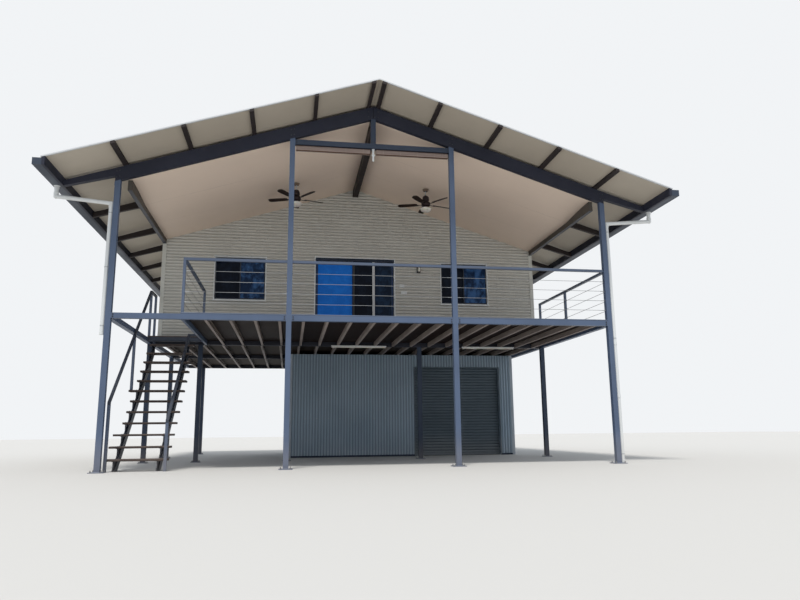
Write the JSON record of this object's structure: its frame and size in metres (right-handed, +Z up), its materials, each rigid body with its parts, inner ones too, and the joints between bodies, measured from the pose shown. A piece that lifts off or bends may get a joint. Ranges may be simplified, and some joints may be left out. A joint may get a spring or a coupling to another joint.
{
  "type": "stilt house",
  "caption": "Steel-framed house raised on square posts under a low gable roof, with an open verandah, an open stair, a carport below and a store room with a roller shutter",
  "frame": {"origin": "on the ground, in the middle of the roof's outline seen from above", "axes": "+X to the right of the front, +Y from the front to the back, +Z up"},
  "size_m": [11.88, 11.85, 7.2292],
  "materials": {
    "frame_steel": "satin",
    "roof_steel": "satin",
    "decking": "oiled",
    "floor_board": "plain",
    "wall_sheet": "satin",
    "wall_trim": "satin",
    "ceiling_board": "painted",
    "roof_sheet": "satin",
    "white_metal": "satin",
    "pane": "clear",
    "shutter_steel": "satin",
    "wire": "drawn",
    "fan_metal": "satin",
    "reed": "natural"
  },
  "bodies": {
    "house": {"base_plates": "frame_steel", "front_posts": "frame_steel", "house_columns": "frame_steel", "deck_beams": "frame_steel", "floor_bearers": "frame_steel", "side_beams": "frame_steel", "joists": "frame_steel", "deck": "decking", "house_floor": "floor_board", "stair_landing": "decking", "front_wall": "wall_sheet", "side_walls": "wall_sheet", "back_wall": "wall_sheet", "corner_trims": "wall_trim", "door_frame": "white_metal", "door_glass": "pane", "window_frames": "white_metal", "window_glass": "pane", "front_rafters": "roof_steel", "collar_and_king_post": "roof_steel", "inner_rafters": "roof_steel", "ridge_beam": "roof_steel", "eave_beams": "roof_steel", "purlins": "roof_steel", "eave_fascias": "roof_steel", "ceiling_lining": "ceiling_board", "roof_sheets": "roof_sheet", "ridge_cap": "roof_sheet", "gutters": "roof_steel", "downpipes": "white_metal", "deck_top_rails": "frame_steel", "deck_rail_wires": "wire", "rail_posts": "frame_steel", "stair_stringers": "frame_steel", "stair_treads": "decking", "stair_hand_rails": "frame_steel", "store_front_wall": "wall_sheet", "store_side_walls": "wall_sheet", "store_back_wall": "wall_sheet", "roller_shutter": "shutter_steel", "shutter_guides": "frame_steel", "fan_mounts": "fan_metal", "rolled_blinds": "reed"},
    "left_fan": {"fan_left": "fan_metal"},
    "right_fan": {"fan_right": "fan_metal"}
  },
  "joints": [
    {"name": "fan_left_spin", "type": "hinge", "parent": "house", "child": "left_fan", "pos_m": [-1.5, -2.745, 5.86], "axis": [0, 0, 1], "continuous": true},
    {"name": "fan_right_spin", "type": "hinge", "parent": "house", "child": "right_fan", "pos_m": [1.5, -2.745, 5.86], "axis": [0, 0, 1], "continuous": true}
  ]
}
